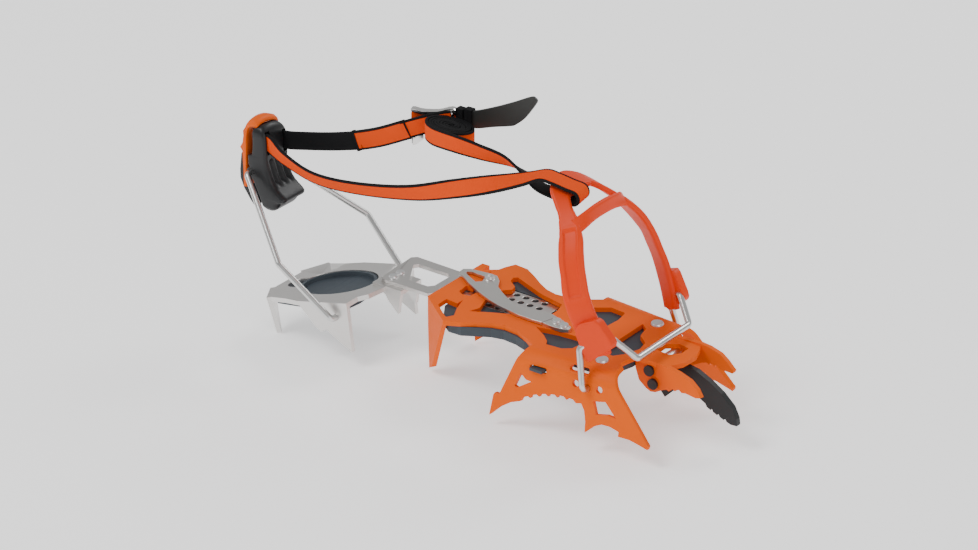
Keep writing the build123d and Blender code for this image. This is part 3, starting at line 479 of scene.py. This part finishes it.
tail_outline = rounded(tail_shape)
tail_near = [at(x, TAIL_Y - TAIL_HALF, z) for x, z in tail_outline]
tail_far = [at(x, TAIL_Y + TAIL_HALF, z) for x, z in tail_outline]
tail = slab("strap_tail_end", tail_near, tail_far, TAIL_BEVEL, "tail_rubber")
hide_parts("strap_tail")
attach(tail, "harness")

# --- buckle: curved plate, a dark sheet of painted reflection under it, frame, short bar and the fold of webbing ---
BUCKLE_X, BUCKLE_Y = -76.5, 9.0
WAY_X, WAY_Y = 0.9422, 0.3350      # direction of the buckle's length
PLATE_T = 0.9
plate_line = [
    (0, 106.4), (2, 106.5), (4, 106.1), (6.2, 105.8), (9, 105.8), (13, 106.1), (17, 106.7), (20, 107.7),
    (23, 108.9), (25.5, 109.5), (27.4, 109.4), (28.4, 108.6),
]
plate_under = [(s, z - PLATE_T) for s, z in plate_line]
# lower edge of the dark sheet under the plate, which stands in for a painted dark reflection
reflection_low = [(23.6, 105), (17, 104.5), (9, 103.4), (6.2, 103.3), (0.4, 104.3)]
bow_line = [
    (-0.5, 82), (0.2, 80.9), (1.6, 80.8), (7.4, 85.6), (7.4, 100), (22, 101), (22, 97), (28.2, 98.4),
    (28.4, 107.6), (20, 106), (8, 104.6), (-0.5, 105),
]
bar_line = [(23.9, 103.4), (24.8, 103.4), (24.8, 108), (23.9, 108)]
fold_line = [(-0.4, 92), (7.8, 92.4), (7.8, 103.0), (-0.4, 103.2)]


def on_buckle(s, n, z):
    """A point s along the buckle and n in front of its plane."""
    return at(BUCKLE_X + WAY_X * s + WAY_Y * n, BUCKLE_Y + WAY_Y * s - WAY_X * n, z)


def buckle_part(name, outline, low, high, finish_name, bevel, replaced=None):
    """A part of the buckle: an outline along it and up, from low to high in front of its plane."""
    near = [on_buckle(s, high, z) for s, z in outline]
    far = [on_buckle(s, low, z) for s, z in outline]
    piece = slab(name, near, far, bevel, finish_name)
    piece.data.polygons.foreach_set("use_smooth", [True] * len(piece.data.polygons))
    piece.data.set_sharp_from_angle(angle=radians(40))
    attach(piece, "harness")
    if replaced:
        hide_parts(replaced)


plate = plate_line + plate_under[::-1]
# outline of the dark sheet under the plate: painted dark reflection, not a separate part
reflection_sheet = plate_under[:9] + reflection_low
buckle_part("buckle_plate", plate, -1.4, 3.0, "buckle_chrome", 0.25, "buckle_lever")
# the dark sheet under the plate is painted dark reflection
buckle_part("buckle_reflection_sheet", reflection_sheet, 1.4, 2.8, "buckle_painted_reflection", 0.2)
buckle_part("buckle_bow", bow_line, -1.4, 0.0, "buckle_chrome", 0.35, "buckle_frame")
buckle_part("buckle_bar", bar_line, 2.9, 3.5, "buckle_chrome", 0.15)
buckle_part("buckle_fold", fold_line, 0.2, 1.2, "webbing_orange", 0.3)

# --- two keeper loops round the tail ----------------------------------------------------------------------
KEEPER_NEAR, KEEPER_FAR, KEEPER_WALL, KEEPER_BEVEL = 17.7, 22.7, 0.9, 0.4
keepers = [  # name, its two ends along x, its bottom and its top
    ("keeper_rear", -50, -44.6, 97.4, 109.4),
    ("keeper_front", -43.8, -38.2, 97.6, 110.6),
]
for name, rear, front, low, high in keepers:
    hoops = []
    for x in (rear, front):
        for wall in (0, KEEPER_WALL):
            near_y, far_y = KEEPER_NEAR + wall, KEEPER_FAR - wall
            hoops += [at(x, near_y, low + wall), at(x, far_y, low + wall)]
            hoops += [at(x, far_y, high - wall), at(x, near_y, high - wall)]
    hoop_faces = []
    for k in range(4):
        j = (k + 1) % 4
        hoop_faces += [(k, j, 8 + j, 8 + k), (4 + j, 4 + k, 12 + k, 12 + j)]
        hoop_faces += [(j, k, 4 + k, 4 + j), (8 + k, 8 + j, 12 + j, 12 + k)]
    keeper = mesh_piece(name, hoops, hoop_faces, ["webbing_black"], smooth=False)
    keeper_bevel = keeper.modifiers.new("edge", "BEVEL")
    keeper_bevel.width = KEEPER_BEVEL * MM
    keeper_bevel.segments = 3
    keeper_bevel.limit_method = "ANGLE"
    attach(keeper, "harness")
    if name == "keeper_rear":
        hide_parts("strap_keeper")

# --- toe harness: arch with sunk panels, cross strap and feet on the bail wire ------------------------------
HARNESS_T, HARNESS_CORNER = 3.8, 1.5
harness_front = [  # front edge of the near half, from the foot to the top
    (103.5, -35.5, 11.5), (100.9, -36, 20.6), (97, -37.6, 29.3), (93.1, -38.4, 37.5), (89.1, -37.8, 46),
    (86.4, -36.6, 53.4), (83.4, -34.6, 61), (80.5, -31.8, 67.5), (77, -27.6, 73.5), (70.4, -22, 80),
    (63.2, -17.5, 85), (58.8, -13.5, 88.2), (57.4, -9, 90), (56.8, -3.5, 91.4),
]
harness_rear = [  # its rear edge
    (90.5, -42.6, 5), (86.2, -44, 17.5), (82, -45, 27.5), (78, -45.6, 36.5), (74.2, -44.6, 45.5),
    (71.4, -42.2, 54), (67.4, -38.6, 61.5), (64, -34, 68.5), (60.5, -28.8, 75.5), (55, -23, 82.6),
    (48.6, -18, 88), (44, -13.5, 91.6), (41, -9, 94), (39, -3.5, 95.5),
]
CROSS_T, CROSS_CORNER = 3.6, 1.4
cross_half = [  # centre of the cross strap, its height and its lean to the front
    (69.4, -24, 79, 7, 6), (70.4, -21, 80.2, 7.4, 5.2), (71, -17, 81.3, 8, 3.6), (71.3, -12, 82.3, 8.2, 2.4),
    (71.5, -5, 83.1, 8.4, 2),
]
PANEL_LOW, PANEL_HIGH = 44.0, 76.5         # heights of the sunk panel on the arms
PANEL_HALF, PANEL_DEPTH = 3.9, 1.25
RIM, RIM_HEIGHT = 1.5, 0.45
ARCH_ROWS = 260


def mirrored(rows):
    """Rows of the near half, followed by their mirror images in reverse order."""
    return rows + [(x, -y, *rest) for x, y, *rest in reversed(rows)]


def panel(across, height):
    """Relief of the arm's outer face: a sunk panel with a raised rim."""
    inside = step_up(PANEL_HALF - abs(across), 0, 0.7)
    inside *= step_up(height, PANEL_LOW, 1) * step_up(PANEL_HIGH, height, 1)
    rim = step_up(PANEL_HALF + RIM - abs(across), 0, 1.2)
    rim *= step_up(height, PANEL_LOW - RIM, 1.6) * step_up(PANEL_HIGH + RIM, height, 1.6)
    return RIM_HEIGHT * rim - PANEL_DEPTH * inside


def band_section(half, thick, corner, columns):
    """Across and out of the points round a band with round corners, the outer face first."""
    flat, deep = half - corner, thick / 2
    ring = [(-flat + 2 * flat * k / columns, deep) for k in range(columns + 1)]
    quarter = [(corner * sin(pi / 8 * k), corner * cos(pi / 8 * k)) for k in range(1, 5)]
    for sign in (1, -1):
        edge = [(sign * (flat + a), sign * (deep - corner + o)) for a, o in quarter]
        ring += edge + [(a, -o) for a, o in reversed(edge)]
        if sign == 1:
            ring += [(flat - flat * k / 3, -deep) for k in range(1, 7)]
    return ring[:-1]


def moulded(rows, thick, corner, relief=None, columns=28):
    """Points and faces of a moulded band: rows of centre, width vector and way along it."""
    points = []
    for centre, wide, way in rows:
        across_way = wide.normalized()
        out = across_way.cross(way).normalized()
        ring = band_section(wide.length / 2, thick, corner, columns)
        for across, off in ring:
            if relief and off >= thick / 2:
                off += relief(across, centre.z)
            points.append(at(*(centre + across_way * across + out * off)))
    return points, tube_faces(len(rows), len(ring))


def with_ways(rows):
    """Adds the direction of travel to rows of centre and width vector."""
    ways = []
    for i in range(len(rows)):
        ways.append((rows[min(i + 1, len(rows) - 1)][0] - rows[max(i - 1, 0)][0]).normalized())
    return [(c, w - way * w.dot(way), way) for (c, w), way in zip(rows, ways)]


def arch_rows():
    """Rows of the arch, half way between its front and rear edges."""
    fronts = smooth_route(mirrored(harness_front), 0.75)
    rears = smooth_route(mirrored(harness_rear), 0.75)
    rows = []
    for i in range(ARCH_ROWS + 1):
        front = Vector(fronts[round(i * (len(fronts) - 1) / ARCH_ROWS)])
        rear = Vector(rears[round(i * (len(rears) - 1) / ARCH_ROWS)])
        rows.append(((front + rear) / 2, front - rear))
    return with_ways(rows)


cross_rows = with_ways([
    (Vector((x, y, z)), Vector((lean, 0, -tall)))
    for x, y, z, tall, lean in smooth_route(mirrored(cross_half), 1)
])
harness_points, harness_faces = moulded(arch_rows(), HARNESS_T, HARNESS_CORNER, panel)
cross_points, cross_faces = moulded(cross_rows, CROSS_T, CROSS_CORNER, None, 10)
harness_faces += [tuple(len(harness_points) + k for k in face) for face in cross_faces]
harness_points += cross_points
harness_body = mesh_piece("toe_harness_arch", harness_points, harness_faces, ["harness_orange"])

FOOT_DEEP, FOOT_BEVEL, FOOT_PROFILE = 6.4, 1.1, 0.6
FOOT_X, FOOT_OUT, FOOT_TURN = 88, 47.2, 0.29       # the outer face's y at x 88, and how fast it closes in
foot_side = [
    (94.5, 5.5), (107.6, 16.6), (108.2, 19.0), (106.8, 22), (104, 26), (99.8, 32), (97.4, 33.6),
    (88.2, 29.6), (86.6, 27.4), (86, 22), (91, 8.6), (92.6, 6.2),
]
foot_mesh = bmesh.new()
for side in (-1, 1):
    outer = [(x, FOOT_OUT - (x - FOOT_X) * FOOT_TURN, z) for x, z in foot_side]
    outer_ring = [at(x, side * y, z) for x, y, z in outer]
    inner_ring = [at(x, side * (y - FOOT_DEEP), z) for x, y, z in outer]
    add_prism(foot_mesh, outer_ring, inner_ring)
bmesh.ops.recalc_face_normals(foot_mesh, faces=foot_mesh.faces)
feet = bevelled_piece(
    "harness_feet", foot_mesh, foot_mesh.edges[:], FOOT_BEVEL, 3, FOOT_PROFILE, "harness_orange",
)
for piece in (harness_body, feet):
    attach(piece, "harness")
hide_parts("toe_harness")

# --- heel lever body: domed top, fluted front, foot and lobe, with slots for the strap --------------------
LEVER_Y, AXLE_X, AXLE_Z = -22.5, -170.7, 52.6
lever_front = [  # height and x of the front face
    (28.8, -157), (29.3, -154.6), (30.6, -152.6), (33.2, -150.5), (35.8, -149.7), (36.8, -148.2),
    (37.3, -145.6), (38.4, -144.8), (39.6, -144.7), (41.2, -146.4), (43, -149.2), (45, -151.8),
    (48, -154.2), (51.5, -156), (56, -157.6), (60, -158.3), (70, -158.6), (78, -158.9), (80.6, -159.4),
    (82.8, -160.4), (84.3, -162), (85, -163.6),
]
lever_rear = [  # height and x of the rear face, with the boss round the axle
    (28.8, -158.6), (29.3, -160.4), (31.5, -162.8), (38, -165.2), (44, -168), (47.6, -169.8), (49, -172),
    (50.6, -174.1), (52.6, -174.9), (54.6, -174.1), (56.2, -172), (57.6, -173.2), (63.6, -173.4),
    (64.8, -170), (70, -169.5), (77, -169.3), (82, -169.4), (84.3, -168.4), (85, -167),
]
lever_half = [  # height and half width
    (28.8, 8.6), (29.6, 10), (31.5, 11.1), (36, 11.4), (80, 11.4), (82, 11.1), (83.6, 10.4), (84.6, 9.2),
    (85, 8),
]
LEVER_LOW, LEVER_TOP, LEVER_RINGS = 28.8, 85.0, 84
FRONT_COLUMNS = 48
FLUTE_PITCH, FLUTE_DEPTH = 5.4, 2.2
FLUTE_LOW, FLUTE_HIGH = 46.5, 62.0
FLUTE_SHAPE = 1.6                          # above 1 it widens the ridges between the flutes
CROWN, CROWN_Y = 0.022, -25.0              # how the top falls off to both sides
CROWN_FROM, CROWN_SOFT = 76, 8             # the height where that starts
NEAR_SLOT, FAR_SLOT = (-30.0, 74.0), (-14.4, 71.0)
SLOT_WIDE, SLOT_TALL, SLOT_FLOOR = 3.8, 15.0, -169.0
BORE_R, BORE_SIDES = 2.3, 24
CUTTER_FRONT, CUTTER_ENDS = -150, (-40, -5)        # clear of the lever in front and on both sides


def read_off(pairs, value):
    """Value read off a list of pairs, straight between them."""
    for (a, va), (b, vb) in zip(pairs, pairs[1:]):
        if value <= b:
            return va + (vb - va) * max(0, value - a) / (b - a)
    return pairs[-1][1]


def crowned(y, z):
    """Height with the fall of the domed top taken off."""
    return z - CROWN * (y - CROWN_Y) ** 2 * step_up(z, CROWN_FROM, CROWN_SOFT)


def lever_ring(z):
    """Outline of the lever at one height: the fluted front face, then its four rounded corners."""
    front, rear, half = read_off(lever_front, z), read_off(lever_rear, z), read_off(lever_half, z)
    round_front = min(3.4 - 1.2 * step_up(z, 60, 8), (front - rear) * 0.42)
    round_rear = min(1.6, (front - rear) * 0.3)
    fluted = step_up(z, FLUTE_LOW, 3) * step_up(FLUTE_HIGH, z, 4)
    flat = half - round_front
    ring = []
    for k in range(FRONT_COLUMNS + 1):
        y = -flat + 2 * flat * k / FRONT_COLUMNS
        flute = 0.5 - 0.5 * cos(2 * pi * (y + flat) / FLUTE_PITCH)
        ring.append((front - FLUTE_DEPTH * flute ** FLUTE_SHAPE * fluted, y))
    corners = [
        (front - round_front, flat, round_front, range(1, 7)),
        (rear + round_rear, half - round_rear, round_rear, range(7)),
        (rear + round_rear, round_rear - half, round_rear, range(7)),
        (front - round_front, -flat, round_front, range(6)),
    ]
    for quarter, (centre_x, centre_y, radius, steps) in enumerate(corners):
        for k in steps:
            angle = (quarter + k / 6) * pi / 2
            ring.append((centre_x + radius * cos(angle), centre_y + radius * sin(angle)))
    return [at(x, LEVER_Y + y, crowned(LEVER_Y + y, z)) for x, y in ring]


def block(name, low, high):
    """A box between two corners, used to cut another piece."""
    corners = [(x, y, z) for x in (low[0], high[0]) for y in (low[1], high[1]) for z in (low[2], high[2])]
    faces = [(0, 1, 3, 2), (4, 6, 7, 5), (0, 4, 5, 1), (2, 3, 7, 6), (0, 2, 6, 4), (1, 5, 7, 3)]
    return mesh_piece(name, [at(*corner) for corner in corners], faces, ["lever_black"], smooth=False)


def cut(piece, cutters):
    """Take cutters out of a piece, then remove them."""
    for cutter in cutters:
        modifier = piece.modifiers.new(cutter.name, "BOOLEAN")
        modifier.operation = "DIFFERENCE"
        modifier.solver = "EXACT"
        modifier.object = cutter
    graph = bpy.context.evaluated_depsgraph_get()
    data = bpy.data.meshes.new_from_object(piece.evaluated_get(graph))
    piece.modifiers.clear()
    piece.data = data
    for cutter in cutters:
        bpy.data.objects.remove(cutter)


lever_points = []
for i in range(LEVER_RINGS + 1):
    lever_points += lever_ring(LEVER_LOW + (LEVER_TOP - LEVER_LOW) * i / LEVER_RINGS)
ring_size = len(lever_points) // (LEVER_RINGS + 1)
lever_faces = tube_faces(LEVER_RINGS + 1, ring_size)
lever_body = mesh_piece("heel_lever_shell", lever_points, lever_faces, ["lever_black"])
cutters = []
for y, z in (NEAR_SLOT, FAR_SLOT):
    slot_low = (SLOT_FLOOR, y - SLOT_WIDE / 2, z - SLOT_TALL / 2)
    slot_high = (CUTTER_FRONT, y + SLOT_WIDE / 2, z + SLOT_TALL / 2)
    cutters.append(block("slot", slot_low, slot_high))
bore_points = []
for y in CUTTER_ENDS:
    for k in range(BORE_SIDES):
        angle = 2 * pi * k / BORE_SIDES
        bore_points.append(at(AXLE_X + BORE_R * cos(angle), y, AXLE_Z + BORE_R * sin(angle)))
cutters.append(mesh_piece("bore", bore_points, tube_faces(2, BORE_SIDES), ["lever_black"], smooth=False))
cut(lever_body, cutters)
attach(lever_body, "heel_lever")
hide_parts("heel_lever_body")

# --- latch over the top and back of the heel lever ---------------------------------------------------------
LATCH_HALF, LATCH_STEPS, LATCH_Y = 10.4, 20, -21.9
LATCH_EDGE, LATCH_SHRINK = 0.9, 0.45       # how far in from its sides it starts to thin, and by how much
CAP_FROM = 80                              # above this height it is the cap, below it the strip
CAP_MID_X, CAP_MID_Z, STRIP_MID_X = -173.5, 84, -177.2
latch_shape = [
    (-165.4, 85.4), (-166.2, 87.2), (-168.8, 88.6), (-172, 88.2), (-174.9, 84.8), (-177, 79.8),
    (-176.8, 75.8), (-178.6, 70.2), (-180.6, 66.9), (-178.9, 64.6), (-178.4, 52), (-178.4, 40.6),
    (-175.6, 40.6), (-175.4, 52), (-175.2, 66), (-175.0, 76), (-173.4, 81.6), (-171, 84.2),
    (-168.6, 84.8), (-166.6, 84.6),
]


def thinned(x, z, amount):
    """A point of the latch's outline moved towards the middle of the material."""
    if z <= CAP_FROM:
        return x + amount * (1 if x < STRIP_MID_X else -1), z
    return x + amount * (1 if x < CAP_MID_X else -1), z + amount * (1 if z < CAP_MID_Z else -1)


latch_points = []
for i in range(LATCH_STEPS + 1):
    y = LATCH_HALF * sin(pi / 2 * (2 * i / LATCH_STEPS - 1))
    end = max(0.0, abs(y) - LATCH_HALF + LATCH_EDGE) / LATCH_EDGE
    for outline_x, outline_z in latch_shape:
        x, z = thinned(outline_x, outline_z, LATCH_SHRINK * end ** 2)
        latch_points.append(at(x, LATCH_Y + y, crowned(LATCH_Y + y, z)))
latch_faces = tube_faces(LATCH_STEPS + 1, len(latch_shape))
latch = mesh_piece("heel_lever_cap", latch_points, latch_faces, ["latch_orange"])
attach(latch, "heel_lever")
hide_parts("heel_lever_latch")

studio()
